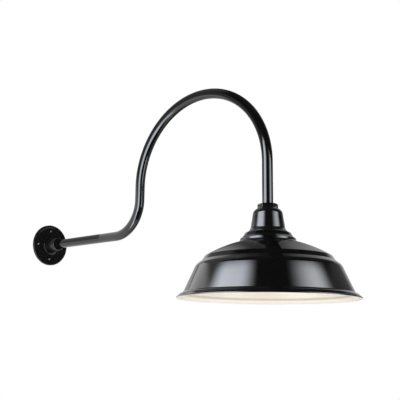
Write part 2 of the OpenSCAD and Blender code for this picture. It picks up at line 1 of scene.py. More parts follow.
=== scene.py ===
import json
import math
import bpy
from mathutils import Matrix, Vector

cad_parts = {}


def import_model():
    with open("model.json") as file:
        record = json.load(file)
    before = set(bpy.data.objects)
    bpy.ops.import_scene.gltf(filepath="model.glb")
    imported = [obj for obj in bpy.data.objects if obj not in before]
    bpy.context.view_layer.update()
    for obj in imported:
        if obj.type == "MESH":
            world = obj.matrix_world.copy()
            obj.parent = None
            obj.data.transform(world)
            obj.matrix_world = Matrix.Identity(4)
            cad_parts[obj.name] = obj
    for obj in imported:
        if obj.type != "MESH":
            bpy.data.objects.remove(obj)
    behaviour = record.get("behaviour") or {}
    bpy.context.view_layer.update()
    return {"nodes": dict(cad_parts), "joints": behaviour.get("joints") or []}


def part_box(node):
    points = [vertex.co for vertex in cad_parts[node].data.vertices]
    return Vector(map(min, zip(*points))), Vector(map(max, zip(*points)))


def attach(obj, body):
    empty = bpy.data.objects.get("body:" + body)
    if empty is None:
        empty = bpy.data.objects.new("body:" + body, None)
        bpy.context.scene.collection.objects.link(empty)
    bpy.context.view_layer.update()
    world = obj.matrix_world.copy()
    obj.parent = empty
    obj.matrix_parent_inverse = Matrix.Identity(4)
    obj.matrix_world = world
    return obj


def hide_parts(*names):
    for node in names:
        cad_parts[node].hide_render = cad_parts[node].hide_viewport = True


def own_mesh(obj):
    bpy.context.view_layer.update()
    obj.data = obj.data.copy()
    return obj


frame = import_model()

# Places and sizes of the frame, in metres
MM = 0.001
UM = 0.000001
NODES = frame["nodes"]
JOINTS = {joint["name"]: joint for joint in frame["joints"]}
HEAD_AXIS = Vector(JOINTS["head_turn"]["pos_m"])
SHADE_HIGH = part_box("shade")[1]
TUBE_LOW, TUBE_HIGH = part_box("arm_tube")
SHELL_LOW, SHELL_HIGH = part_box("lampholder_shell")

# How far round the head is screwed on the arm
HEAD_SET = math.radians(6)

# Arm tube, and the straight lengths and bend radii of its middle line
TUBE_R = (TUBE_HIGH.x - TUBE_LOW.x) / 2
TUBE_WALL = 2.1 * MM
TUBE_START = 20 * MM
LEVEL_RUN = 315 * MM
LOWER_BEND_R = 95 * MM
RISER = 38 * MM
ARCH_R = 222 * MM
DROP = 129 * MM
TUBE_SIDES = 64
LOWER_BEND_STEPS = 40
ARCH_STEPS = 120

# Shade, in millimetres: steps out from the axis and down from its top face
SHADE_R = 216.0
SHEET = 1.2
BEAD_R = 1.7
NECK_HOLE_R = 28.0
NECK_R = 54.1
NECK_FLARE = 5.6
NECK_H = 10.5
COLLAR_STEP = 6.6
COLLAR_SLOPE_H = 4.3
COLLAR_TAPER = 1.1
COLLAR_H = 7.6
DOME_H = 30.0
DOME_BULGE = 2.5
RING_1_W = 8.8
RING_1_SLOPE = math.radians(30)
BAND_W = 6.9
BAND_H = 10.8
RING_2_W = 14.5
RING_2_SLOPE = math.radians(36.7)
SKIRT_W = 28.9
SKIRT_H = 64.0
LIP_W = 15.8
LIP_H = 11.0
LIP_BULGE = 1.8
RIM_DEPTH = (
    NECK_H + COLLAR_SLOPE_H + COLLAR_H + DOME_H + RING_1_W * math.tan(RING_1_SLOPE)
    + BAND_H + RING_2_W * math.tan(RING_2_SLOPE) + SKIRT_H + LIP_H
)

# Radii of the shade's bends, in millimetres
NECK_ROUND = 4
TIGHT_BEND = 2
COLLAR_ROUND = 5
DOME_ROUND = 4
RING_1_ROUND = 2.5
RING_2_ROUND = 3
SHOULDER_ROUND = 26
LIP_ROUND = 3

# Camera that the photograph was taken with. Its turn, rise and roll are in radians.
CAMERA_PLACE = Vector((-1.3390, -1.8153, -0.3064))
CAMERA_TURN = math.radians(-48.66)
CAMERA_RISE = 0.2059
CAMERA_ROLL = 0.0122
FOCAL_IN_PIXELS = 697.29
IMAGE_WIDTH = 400
SENSOR = 36.0
FAR_CLIP = 100


def camera():
    """The camera of the photograph."""
    data = bpy.data.cameras.new("camera")
    data.sensor_width = SENSOR
    data.lens = FOCAL_IN_PIXELS / IMAGE_WIDTH * SENSOR
    data.clip_end = FAR_CLIP
    shot = bpy.data.objects.new("camera", data)
    turn = Matrix.Rotation(CAMERA_TURN, 4, "Z")
    rise = Matrix.Rotation(math.pi / 2 + CAMERA_RISE, 4, "X")
    roll = Matrix.Rotation(CAMERA_ROLL, 4, "Z")
    shot.matrix_world = Matrix.Translation(CAMERA_PLACE) @ turn @ rise @ roll
    bpy.context.scene.collection.objects.link(shot)
    bpy.context.scene.camera = shot


WHITE = (1, 1, 1, 1)


class Tree:
    """A short way to add and join the nodes of one material, world or modifier."""

    def __init__(self, node_tree):
        self.nodes = node_tree.nodes
        self.links = node_tree.links
        self.nodes.clear()

    def add(self, kind, settings=None, **inputs):
        """A new node. An underscore in the name of an input stands for a space."""
        node = self.nodes.new(kind)
        for name, value in (settings or {}).items():
            setattr(node, name, value)
        for name, value in inputs.items():
            self.put(node, name.replace("_", " "), value)
        return node

    def put(self, node, key, value):
        """Joins an output to an input, or sets the input to a value. The key is a name or an index."""
        socket = node.inputs[key]
        if isinstance(value, bpy.types.NodeSocket):
            self.links.new(value, socket)
        else:
            socket.default_value = value

    def fill(self, node, values):
        """Puts values into the first inputs of a node, in their order."""
        for index, value in enumerate(values):
            self.put(node, index, value)
        return node

    def math(self, operation, first, second=0.0, third=0.0):
        node = self.add("ShaderNodeMath", {"operation": operation})
        return self.fill(node, (first, second, third)).outputs[0]

    def vector_math(self, operation, *vectors):
        """An operation that turns vectors into one number."""
        node = self.add("ShaderNodeVectorMath", {"operation": operation})
        return self.fill(node, vectors).outputs["Value"]

    def parts(self, vector):
        """The x, y and z of a vector."""
        node = self.add("ShaderNodeSeparateXYZ", Vector=vector)
        return [node.outputs[axis] for axis in "XYZ"]

    def mix(self, factor, first, second):
        """A blend of two colours."""
        node = self.nodes.new("ShaderNodeMix")
        node.data_type = "RGBA"
        for index, value in ((0, factor), (6, first), (7, second)):
            self.put(node, index, value)
        return node.outputs[2]

    def spread(self, value, low, high, to_low, to_high):
        """Carries a value from one range to another with soft ends, and no further than those."""
        node = self.add("ShaderNodeMapRange", {"interpolation_type": "SMOOTHSTEP"}, Value=value,
                        From_Min=low, From_Max=high, To_Min=to_low, To_Max=to_high)
        return node.outputs["Result"]

    def place(self):
        """Where a point of the surface is, in the object's own coordinates."""
        return self.nodes.new("ShaderNodeTexCoord").outputs["Object"]

    def noise(self, where, scale, detail=2.0, roughness=0.5):
        node = self.add("ShaderNodeTexNoise", Vector=where, Scale=scale, Detail=detail, Roughness=roughness)
        return node.outputs["Fac"]

    def bump(self, height, distance, under=None):
        """The normal of a bumpy surface, on top of another bumpy surface where one is given."""
        node = self.add("ShaderNodeBump", Height=height, Distance=distance, Strength=1.0)
        if under is not None:
            self.put(node, "Normal", under)
        return node.outputs["Normal"]

    def glow(self, strength, colour=WHITE):
        return self.add("ShaderNodeEmission", Color=colour, Strength=strength).outputs[0]

    def both(self, first, second):
        """Two shaders added up."""
        return self.fill(self.nodes.new("ShaderNodeAddShader"), (first, second)).outputs[0]

    def blend(self, factor, first, second):
        """A blend of two shaders."""
        return self.fill(self.nodes.new("ShaderNodeMixShader"), (factor, first, second)).outputs[0]

    def front_and_back(self, front, back):
        """One shader for the front of a sheet and another for its back."""
        return self.blend(self.nodes.new("ShaderNodeNewGeometry").outputs["Backfacing"], front, back)

    def show(self, shader, output="ShaderNodeOutputMaterial"):
        """Makes a shader the surface of the material or world."""
        self.links.new(shader, self.nodes.new(output).inputs["Surface"])

    def show_principled(self, colour, roughness, normal, **fixed):
        """Shows a principled surface, with its textures and the numbers that are fixed over it."""
        shader = self.add("ShaderNodeBsdfPrincipled", Base_Color=colour, Roughness=roughness, Normal=normal,
                          **fixed)
        self.show(shader.outputs[0])


# Noise textures: scale, detail and, where it isn't a half, roughness
SPIN_LINES = (900.0, 3.0, 0.6)
ENAMEL_PEEL = (420.0, 1.0)
ENAMEL_CLOUD = (14.0, 3.0)
ENAMEL_WEAR = (60.0, 4.0, 0.7)
POWDER_PEEL = (520.0, 1.5)
POWDER_CLOUD = (22.0, 4.0, 0.6)
POWDER_WEAR = (95.0, 4.0, 0.7)
SAND = (1500.0, 4.0, 0.75)
SCRATCHES = (2600.0, 2.0, 0.8)
METAL_CLOUD = (180.0, 4.0, 0.65)
MOULDED_CLOUD = (45.0, 4.0, 0.6)
MOULDED_WEAR = (200.0, 3.0)

# Detail and roughness of the grain on what is moulded. Its scale is each material's own.
MOULDED_GRAIN = (3.0, 0.6)

# The middle of a noise, which is spread over the whole range of a roughness or stain
WEAR_SPAN = (0.3, 0.7)
METAL_WEAR_SPAN = (0.3, 0.75)
STAIN_SPAN = (0.35, 0.75)

# How far a colour varies over a surface, as factors of it
POWDER_TINTS = (0.8, 1.2)
MOULDED_TINTS = (0.88, 1.08)

LACQUER_IOR = 1.5
GLAZE_ROUGHNESS = 0.08

# How much the angle round the head counts in the noise of the spinning lines. A small share draws them long.
SPIN_SHARE = 0.004

# Cream enamel, with painted shade: a tan line that darkens the crease above the lip. Below it, painted
# light: the lip painted paler, as if lit from below
CREAM = (0.93, 0.87, 0.77)
CREASE_SHADE_TAN = (0.5, 0.4, 0.28, 1.0)
LIT_LIP_CREAM = (0.97, 0.93, 0.88, 1.0)
CREASE_Z = SHADE_HIGH.z - (RIM_DEPTH - LIP_H + SHEET) * MM
CREASE_REACH = 4.5 * MM
CREASE_SHADE_DEPTH = 0.6


def new_material(name):
    """A material with nothing in it yet, and its tree."""
    material = bpy.data.materials.new(name)
    material.use_nodes = True
    return material, Tree(material.node_tree)


def shade_of(colour, factor):
    """A colour made lighter or darker by a factor."""
    return [channel * factor for channel in colour] + [1.0]


def clouded(tree, cloud, colour, low, high):
    """A colour that a cloud varies between two factors of it."""
    return tree.mix(cloud, shade_of(colour, low), shade_of(colour, high))


def around_head(tree):
    """Coordinates that follow the head's axis: distance from it, angle round it, and height."""
    x, y, height = tree.parts(tree.place())
    y = tree.math("SUBTRACT", y, HEAD_AXIS.y)
    radius = tree.math("SQRT", tree.math("ADD", tree.math("MULTIPLY", x, x), tree.math("MULTIPLY", y, y)))
    angle = tree.math("MULTIPLY", tree.math("ARCTAN2", y, x), SPIN_SHARE)
    return tree.add("ShaderNodeCombineXYZ", X=radius, Y=angle, Z=height).outputs["Vector"]


def painted_crease_shade(tree, height):
    """How much painted shade darkens the enamel: most in the crease above the lip, and none a little above
    and below.
    """
    away = tree.math("ABSOLUTE", tree.math("SUBTRACT", height, CREASE_Z))
    return tree.spread(away, 0.0, CREASE_REACH, CREASE_SHADE_DEPTH, 0.0)


def enamel(tree, colour, rough, peel, spin, uneven, coat=0.0, crease_shade=None):
    """Baked enamel on spun sheet: faint spinning lines under a skin with a fine orange peel."""
    where = tree.place()
    turned = around_head(tree)
    tint = clouded(tree, tree.noise(where, *ENAMEL_CLOUD), colour, 1 - uneven, 1 + uneven)
    if crease_shade:
        height = tree.parts(turned)[2]
        # Painted light: the lip below the crease painted paler, as if lit from below
        lit_lip = tree.spread(height, CREASE_Z - CREASE_REACH, CREASE_Z, 1.0, 0.0)
        tint = tree.mix(lit_lip, tint, LIT_LIP_CREAM)
        # Painted shade: a tan line darkens the crease above the lip
        tint = tree.mix(painted_crease_shade(tree, height), tint, crease_shade)
    wear = tree.spread(tree.noise(where, *ENAMEL_WEAR), *WEAR_SPAN, *rough)
    lines = tree.bump(tree.noise(turned, *SPIN_LINES), spin)
    normal = tree.bump(tree.noise(where, *ENAMEL_PEEL), peel, under=lines)
    tree.show_principled(tint, wear, normal, IOR=LACQUER_IOR, Coat_Weight=coat, Coat_Roughness=rough[0])


def powder_coat(tree, colour, rough, peel, grain=0.0, coat=0.0):
    """Powder coat: an orange peel of about a millimetre, and for castings the sand grain under it."""
    where = tree.place()
    tint = clouded(tree, tree.noise(where, *POWDER_CLOUD), colour, *POWDER_TINTS)
    wear = tree.spread(tree.noise(where, *POWDER_WEAR), *WEAR_SPAN, *rough)
    sand = tree.bump(tree.noise(where, *SAND), grain)
    normal = tree.bump(tree.noise(where, *POWDER_PEEL), peel, under=sand)
    tree.show_principled(tint, wear, normal, IOR=LACQUER_IOR, Coat_Weight=coat, Coat_Roughness=rough[0])


def plated(tree, colour, rough, scratch, stain):
    """Plated or bare metal: fine scratches, duller and darker where it has stained."""
    where = tree.place()
    cloud = tree.noise(where, *METAL_CLOUD)
    stained = tree.spread(cloud, *STAIN_SPAN, 0.0, 1.0)
    tint = clouded(tree, stained, colour, 1.0, 1.0 - stain)
    wear = tree.spread(cloud, *METAL_WEAR_SPAN, *rough)
    normal = tree.bump(tree.noise(where, *SCRATCHES), scratch)
    tree.show_principled(tint, wear, normal, Metallic=1.0)


def moulded(tree, colour, rough, grain, scale=1200.0, coat=0.0):
    """Plastic, rubber or glazed porcelain with a small-scale texture."""
    where = tree.place()
    tint = clouded(tree, tree.noise(where, *MOULDED_CLOUD), colour, *MOULDED_TINTS)
    wear = tree.spread(tree.noise(where, *MOULDED_WEAR), *WEAR_SPAN, *rough)
    normal = tree.bump(tree.noise(where, scale, *MOULDED_GRAIN), grain)
    tree.show_principled(tint, wear, normal, IOR=LACQUER_IOR, Coat_Weight=coat,
                         Coat_Roughness=GLAZE_ROUGHNESS)


# Each material's kind, and what that kind's function takes. A rough pair is the least and most roughness.
RECIPES = {
    "shade_black": (enamel, dict(
        colour=(0.004, 0.0041, 0.004), rough=(0.09, 0.13), peel=12 * UM, spin=8 * UM, uneven=0.09,
        coat=0.6)),
    "shade_cream": (enamel, dict(
        colour=CREAM, rough=(0.28, 0.36), peel=20 * UM, spin=10 * UM, uneven=0.015, crease_shade=CREASE_SHADE_TAN)),
    "arm_black": (powder_coat, dict(
        colour=(0.005, 0.005, 0.0052), rough=(0.07, 0.11), peel=6 * UM, coat=0.6)),
    "cap_black": (powder_coat, dict(
        colour=(0.006, 0.0061, 0.006), rough=(0.09, 0.14), peel=10 * UM, grain=4 * UM, coat=0.6)),
    "flange_black": (powder_coat, dict(
        colour=(0.007, 0.007, 0.0072), rough=(0.15, 0.22), peel=6 * UM, grain=2 * UM, coat=0.4)),
    "gasket_rubber": (moulded, dict(
        colour=(0.02, 0.02, 0.02), rough=(0.7, 0.9), grain=100 * UM, scale=900.0)),
    "dark_steel": (plated, dict(
        colour=(0.09, 0.09, 0.095), rough=(0.35, 0.5), scratch=10 * UM, stain=0.2)),
    "zinc_steel": (plated, dict(
        colour=(0.62, 0.63, 0.62), rough=(0.25, 0.45), scratch=10 * UM, stain=0.25)),
    "ground_green": (plated, dict(
        colour=(0.05, 0.3, 0.11), rough=(0.28, 0.45), scratch=10 * UM, stain=0.3)),
    "brass": (plated, dict(
        colour=(0.78, 0.57, 0.25), rough=(0.22, 0.42), scratch=10 * UM, stain=0.3)),
    "bushing_plastic": (moulded, dict(
        colour=(0.025, 0.025, 0.026), rough=(0.35, 0.5), grain=30 * UM)),
    "wire_black": (moulded, dict(
        colour=(0.02, 0.02, 0.021), rough=(0.3, 0.42), grain=20 * UM)),
    "wire_white": (moulded, dict(
        colour=(0.8, 0.79, 0.75), rough=(0.3, 0.42), grain=20 * UM)),
    "porcelain": (moulded, dict(
        colour=(0.86, 0.84, 0.79), rough=(0.12, 0.22), grain=30 * UM, scale=500.0, coat=0.5)),
}


def made(name, kind, values):
    """A material made by a recipe."""
    material, tree = new_material(name)
    kind(tree, **values)
    return material


MATERIALS = {name: made(name, *recipe) for name, recipe in RECIPES.items()}

# The CAD pieces that are shown as they are, and their finish
FINISHES = {
    "wall_gasket": "gasket_rubber",
    "wall_flange": "flange_black",
    "ground_washer": "brass",
    "ground_screw": "ground_green",
    "flange_set_screw": "dark_steel",
    "wall_end_bushing": "bushing_plastic",
    "head_end_bushing": "bushing_plastic",
    "line_wire": "wire_black",
    "neutral_wire": "wire_white",
    "socket_cap": "cap_black",
    "cap_set_screw": "dark_steel",
    "lampholder_top": "porcelain",
    "lampholder_body": "porcelain",
    "centre_contact": "brass",
    "line_terminal": "brass",
    "neutral_terminal": "zinc_steel",
    "lampholder_screws": "zinc_steel",
    "lampholder_washers": "zinc_steel",
    "shade_gasket": "gasket_rubber",
    "shade_screws": "zinc_steel",
    "shade_washers": "zinc_steel",
}

# Points nearer than the weld are joined, and edges under the soft angle are shaded smooth
WELD = 2 * UM
SOFT_EDGE = math.radians(32)


def smooth_shading():
    """A node group that welds a mesh's seams and shades it smooth, apart from its sharp edges."""
    group = bpy.data.node_groups.new("smooth_shading", "GeometryNodeTree")
    for way in ("INPUT", "OUTPUT"):
        group.interface.new_socket("Geometry", in_out=way, socket_type="NodeSocketGeometry")
    tree = Tree(group)
    start = tree.add("NodeGroupInput").outputs[0]
    plain = tree.add("GeometryNodeRemoveAttribute", Geometry=start, Name="custom_normal").outputs[0]
    weld = tree.add("GeometryNodeMergeByDistance", Geometry=plain, Distance=WELD).outputs[0]
    faces = tree.add("GeometryNodeSetShadeSmooth", {"domain": "FACE"}, Geometry=weld).outputs[0]
    angle = tree.add("GeometryNodeInputMeshEdgeAngle").outputs["Unsigned Angle"]
    soft = tree.add("FunctionNodeCompare", {"operation": "LESS_THAN"})
    tree.fill(soft, (angle, SOFT_EDGE))
    edges = tree.add("GeometryNodeSetShadeSmooth", {"domain": "EDGE"}, Geometry=faces,
                     Shade_Smooth=soft.outputs[0])
    tree.fill(tree.add("NodeGroupOutput"), edges.outputs[:1])
    return group


def dress_cad_nodes():
    """Gives the CAD pieces their finish and their smooth shading."""
    group = smooth_shading()
    for name, finish in FINISHES.items():
        node = NODES[name]
        for slot in node.material_slots:
            slot.material = MATERIALS[finish]
        node.modifiers.new("smooth shading", "NODES").node_group = group


def mesh_piece(name, points, faces, materials, face_materials=None):
    """A new object, shaded smooth apart from its sharp edges."""
    data = bpy.data.meshes.new(name)
    data.from_pydata(points, [], faces)
    data.validate()
    for material in materials:
        data.materials.append(material)
    if face_materials:
        for face, index in zip(data.polygons, face_materials):
            face.material_index = index
    data.update()
    piece = bpy.data.objects.new(name, data)
    bpy.context.scene.collection.objects.link(piece)
    data.shade_smooth()
    data.set_sharp_from_angle(angle=SOFT_EDGE)
    return piece


def turns(count):
    """Angles that divide a full turn."""
    return [2 * math.pi * k / count for k in range(count)]


def round_head(radius, turn, height):
    """A place given by its distance from the head's axis, its turn round it and its height."""
    return (HEAD_AXIS.x + radius * math.cos(turn), HEAD_AXIS.y + radius * math.sin(turn), height)


def belt(first, second, sides, turned=False):
    """Faces between two rings of points, given by the index of each ring's first point.

    Turned, they look the other way.
    """
    faces = []
    for k in range(sides):
        m = (k + 1) % sides
        if turned:
            faces.append((first + k, second + k, second + m, first + m))
        else:
            faces.append((first + k, first + m, second + m, second + k))
    return faces


def arc(mid, radius, start, end, steps):
    """Points on an arc between two angles."""
    angles = [start + (end - start) * i / steps for i in range(steps + 1)]
    return [Vector((mid[0] + radius * math.cos(t), mid[1] + radius * math.sin(t))) for t in angles]


# The steps of a rounded corner, and the most that its arc may take of the shorter side beside it
CORNER_STEPS = 10
CORNER_SHARE = 0.9


def corner(before, at, after, radius):
    """Points that round the corner at a point of an outline."""
    u = (before - at).normalized()
    v = (after - at).normalized()
    half = u.angle(v) / 2
    reach = CORNER_SHARE * min((before - at).length, (after - at).length)
    radius = min(radius, reach * math.tan(half))
    mid = at + (u + v).normalized() * radius / math.sin(half)
    first = at + u * radius / math.tan(half) - mid
    last = at + v * radius / math.tan(half) - mid
    start = math.atan2(first.y, first.x)
    turn = math.atan2(last.y, last.x) - start
    turn = (turn + 3 * math.pi) % (2 * math.pi) - math.pi
    return arc(mid, radius, start, start + turn, CORNER_STEPS)


def rounded(stations):
    """An outline of (x, y, corner radius) stations, with its inner corners rounded."""
    points = [Vector(station[:2]) for station in stations]
    line = [points[0]]
    for i in range(1, len(points) - 1):
        if stations[i][2] == 0:
            line.append(points[i])
        else:
            line += corner(points[i - 1], points[i], points[i + 1], stations[i][2])
    return line + [points[-1]]


def bulged(a, b, rise, steps):
    """Points from a to b on an arc that bulges to the left of the straight line."""
    half = (b - a).length / 2
    radius = (half * half + rise * rise) / (2 * rise)
    out = Vector((a.y - b.y, b.x - a.x)).normalized()
    mid = (a + b) / 2 + out * (rise - radius)
    start = math.atan2(a.y - mid.y, a.x - mid.x)
    return arc(mid, radius, start, start - 2 * math.asin(half / radius), steps)


def moved_sideways(line, distance):
    """A line moved to its right by a distance, for the other face of a sheet."""
    result = []
    for i, point in enumerate(line):
        before = line[max(i, 1)] - line[max(i - 1, 0)]
        after = line[min(i + 1, len(line) - 1)] - line[min(i, len(line) - 2)]
        before_side = Vector((before.y, -before.x)).normalized()
        after_side = Vector((after.y, -after.x)).normalized()
        middle = (before_side + after_side).normalized()
        result.append(point + middle * distance / middle.dot(before_side))
    return result


def lathe(name, outline, sides, materials, outline_materials):
    """Turns a closed outline of (radius, height) points round the head's axis."""
    points = []
    for radius, height in outline:
        points += [round_head(radius, HEAD_SET + turn, height) for turn in turns(sides)]
    faces = []
    face_materials = []
    for i, index in enumerate(outline_materials):
        following = (i + 1) % len(outline)
        faces += belt(i * sides, following * sides, sides, turned=True)
        face_materials += [index] * sides
    return mesh_piece(name, points, faces, materials, face_materials)


# Mesh of the shade
SHADE_SIDES = 360
DOME_STEPS = 20
LIP_STEPS = 12
BLACK_ROLL_STEPS = 16
CREAM_ROLL_STEPS = 24

# Turns round the bead, from its outer side: where the roll starts, where black meets cream and where it ends
BEAD_START = math.radians(60)
ENAMEL_END = math.radians(-50)
BEAD_END = math.radians(-215)


def shade_outline():
    """The shade's outer face from the neck's hole down to the bead, in millimetres."""
    foot_r = SHADE_R - LIP_W
    foot = RIM_DEPTH - LIP_H
    shoulder_r = foot_r - SKIRT_W
    shoulder = foot - SKIRT_H
    band_foot_r = shoulder_r - RING_2_W
    band_foot = shoulder - RING_2_W * math.tan(RING_2_SLOPE)
    band_top_r = band_foot_r - BAND_W
    band_top = band_foot - BAND_H
    dome_foot = Vector((band_top_r - RING_1_W, RING_1_W * math.tan(RING_1_SLOPE) - band_top))
    neck_foot_r = NECK_R + NECK_FLARE
    collar_r = neck_foot_r + COLLAR_STEP
    collar_foot = Vector((collar_r + COLLAR_TAPER, -NECK_H - COLLAR_SLOPE_H - COLLAR_H))
    dome = bulged(collar_foot, dome_foot, DOME_BULGE, DOME_STEPS)
    lip = bulged(Vector((foot_r, -foot)), Vector((SHADE_R - BEAD_R, -RIM_DEPTH)), LIP_BULGE, LIP_STEPS)
    stations = [
        (NECK_HOLE_R, 0, 0),
        (NECK_R, 0, NECK_ROUND),
        (neck_foot_r, -NECK_H, TIGHT_BEND),
        (collar_r, -NECK_H - COLLAR_SLOPE_H, TIGHT_BEND),
        (collar_foot.x, collar_foot.y, COLLAR_ROUND),
    ]
    stations += [(point.x, point.y, 0) for point in dome[1:-1]]
    stations += [
        (dome_foot.x, dome_foot.y, DOME_ROUND),
        (band_top_r, -band_top, RING_1_ROUND),
        (band_foot_r, -band_foot, RING_2_ROUND),
        (shoulder_r, -shoulder, SHOULDER_ROUND),
        (foot_r, -foot, LIP_ROUND),
    ]
    stations += [(point.x, point.y, 0) for point in lip[1:]]
    return rounded(stations)


def shade():
    """The spun shade: black outside, cream inside, with its rim rolled into a bead."""
    outer = shade_outline()
    inner = moved_sideways(outer, SHEET)
    bead = (SHADE_R - BEAD_R, -RIM_DEPTH - SHEET / 2)
    black_roll = arc(bead, BEAD_R, BEAD_START, ENAMEL_END, BLACK_ROLL_STEPS)
    cream_roll = arc(bead, BEAD_R, ENAMEL_END, BEAD_END, CREAM_ROLL_STEPS)
    black_part = outer[:-1] + black_roll
    cream_part = cream_roll[1:] + inner[-2::-1]
    outline = [(p.x * MM, SHADE_HIGH.z + p.y * MM) for p in black_part + cream_part]
    kinds = [0] * (len(black_part) - 1) + [1] * (len(cream_part) + 1)
    materials = [MATERIALS["shade_black"], MATERIALS["shade_cream"]]
    piece = lathe("shade_spun", outline, SHADE_SIDES, materials, kinds)
    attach(piece, "head")
    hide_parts("shade")


def arm_path():
    """The middle line of the arm: outward from the wall, and up."""
    line = [Vector((TUBE_START, 0.0)), Vector((LEVEL_RUN, 0.0))]
    line += arc((LEVEL_RUN, LOWER_BEND_R), LOWER_BEND_R, -math.pi / 2, 0, LOWER_BEND_STEPS)[1:]
    arch_mid = Vector((LEVEL_RUN + LOWER_BEND_R + ARCH_R, LOWER_BEND_R + RISER))
    line += arc(arch_mid, ARCH_R, math.pi, 0, ARCH_STEPS)
    line.append(line[-1] - Vector((0.0, DROP)))
    return line


def arm():
    """The bent tube, with its bore and square-cut ends."""
    line = arm_path()
    count = len(line)
    points = []
    for radius in (TUBE_R, TUBE_R - TUBE_WALL):
        for i, point in enumerate(line):
            ahead = line[min(i + 1, count - 1)] - line[i]
            behind = line[i] - line[max(i - 1, 0)]
            along = (ahead.normalized() + behind.normalized()).normalized()
            across = Vector((-along.y, along.x))
            for turn in turns(TUBE_SIDES):
                place = point + across * radius * math.cos(turn)
                points.append((radius * math.sin(turn), -place.x, place.y))
    outside = [i * TUBE_SIDES for i in range(count)]
    bore = [(count + i) * TUBE_SIDES for i in range(count)]
    faces = belt(outside[0], bore[0], TUBE_SIDES, turned=True) + belt(outside[-1], bore[-1], TUBE_SIDES)
    for i in range(count - 1):
        faces += belt(outside[i], outside[i + 1], TUBE_SIDES)
        faces += belt(bore[i], bore[i + 1], TUBE_SIDES, turned=True)
    piece = mesh_piece("arm_bent_tube", points, faces, [MATERIALS["arm_black"]])
    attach(piece, "arm")
    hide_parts("arm_tube")


# Lamp shell and its rolled thread, which fades in and out over a share of its pitch
THREAD_PITCH = 3.629 * MM
THREAD_DEPTH = 0.38 * MM
THREAD_FADE = 0.6
SHELL_SHEET = 0.5 * MM
SHELL_R = 13.4 * MM
SHELL_STRAIGHT = 25 * MM
SHELL_SLOPE_IN = 1 * MM
SHELL_HOLE_R = 6.5 * MM
SHELL_SIDES = 120
SHELL_ROWS = 84


def thread_row(height, sheet):
    """One ring of points on the threaded wall, inside or a sheet's thickness further out."""
    foot = SHELL_LOW.z
    from_end = min(height - foot, foot + SHELL_STRAIGHT - height)
    fade = min(1.0, max(0.0, from_end / (THREAD_FADE * THREAD_PITCH)))
    wave = fade * THREAD_DEPTH
    row = []
    for turn in turns(SHELL_SIDES):
        phase = 2 * math.pi * height / THREAD_PITCH - turn
        row.append(round_head(SHELL_R - wave + wave * math.cos(phase) + sheet, turn, height))
    return row


def plain_row(radius, height):
    return [round_head(radius, turn, height) for turn in turns(SHELL_SIDES)]


def lamp_shell():
    """The brass shell with its rolled thread, which the lamp screws into."""
    roof = SHELL_HIGH.z
    ceiling = roof - SHELL_SHEET
    slope_r = SHELL_R - SHELL_SLOPE_IN
    heights = [SHELL_LOW.z + SHELL_STRAIGHT * i / SHELL_ROWS for i in range(SHELL_ROWS + 1)]
    rows = [thread_row(height, SHELL_SHEET) for height in heights]
    rows += [plain_row(slope_r, roof), plain_row(SHELL_HOLE_R, roof)]
    rows += [plain_row(SHELL_HOLE_R, ceiling), plain_row(slope_r - SHELL_SHEET, ceiling)]
    rows += [thread_row(height, 0.0) for height in reversed(heights)]
    points = [point for row in rows for point in row]
    faces = []
    for i in range(len(rows)):
        following = (i + 1) % len(rows)
        faces += belt(i * SHELL_SIDES, following * SHELL_SIDES, SHELL_SIDES)
    piece = mesh_piece("lamp_shell_threaded", points, faces, [MATERIALS["brass"]])
    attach(piece, "head")
    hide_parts("lampholder_shell")


# Contact spring
SPRING_WIRE_R = 0.3 * MM
SPRING_TURNS = 4
SPRING_STEPS = 40
SPRING_SIDES = 12


def contact_spring():
    """The coil round the contact's stem."""
    low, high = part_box("contact_spring")
    bottom = low.z + SPRING_WIRE_R
    rise = high.z - SPRING_WIRE_R - bottom
    radius = (high.x - low.x) / 2 - SPRING_WIRE_R
    climb = rise / (2 * math.pi * radius * SPRING_TURNS)
    total = SPRING_TURNS * SPRING_STEPS
    points = []
    for i in range(total + 1):
        turn = HEAD_SET + 2 * math.pi * i / SPRING_STEPS
        out = Vector((math.cos(turn), math.sin(turn), 0))
        up = Vector((math.sin(turn) * climb, -math.cos(turn) * climb, 1)).normalized()
        middle = Vector(round_head(radius, turn, bottom + rise * i / total))
        for side in turns(SPRING_SIDES):
            points.append(middle + (out * math.cos(side) + up * math.sin(side)) * SPRING_WIRE_R)
    start = range(SPRING_SIDES)
    end = range(total * SPRING_SIDES, (total + 1) * SPRING_SIDES)
    faces = [tuple(reversed(start)), tuple(end)]
    for i in range(total):
        faces += belt(i * SPRING_SIDES, (i + 1) * SPRING_SIDES, SPRING_SIDES)
    piece = mesh_piece("contact_coil", points, faces, [MATERIALS["zinc_steel"]])
    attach(piece, "head")
    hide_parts("contact_spring")
    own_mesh(piece)


# Floor of the studio. It fades to white between two distances from the frame's origin.
FLOOR_Z = -0.9
FLOOR_R = 30.0
FLOOR_SIDES = 96
FLOOR_FADE = (1.6, 3.6)
FLOOR_GRAIN = (60.0, 4.0)
FLOOR_DARK = (0.84, 0.84, 0.83, 1)
FLOOR_PALE = (0.88, 0.88, 0.87, 1)


def floor():
    """A pale floor that keeps the object's shadow near it and fades to white further out."""
    material, tree = new_material("floor_white")
    where = tree.place()
    far = tree.spread(tree.vector_math("LENGTH", where), *FLOOR_FADE, 0.0, 1.0)
    seen = tree.math("MULTIPLY", far, tree.nodes.new("ShaderNodeLightPath").outputs["Is Camera Ray"])
    colour = tree.mix(tree.noise(where, *FLOOR_GRAIN), FLOOR_DARK, FLOOR_PALE)
    paint = tree.add("ShaderNodeBsdfDiffuse", Color=colour).outputs[0]
    tree.show(tree.blend(seen, paint, tree.glow(1.0)))
    points = [(FLOOR_R * math.cos(t), FLOOR_R * math.sin(t), FLOOR_Z) for t in turns(FLOOR_SIDES)]
    piece = mesh_piece("studio_floor", points, [tuple(range(FLOOR_SIDES))], [material])


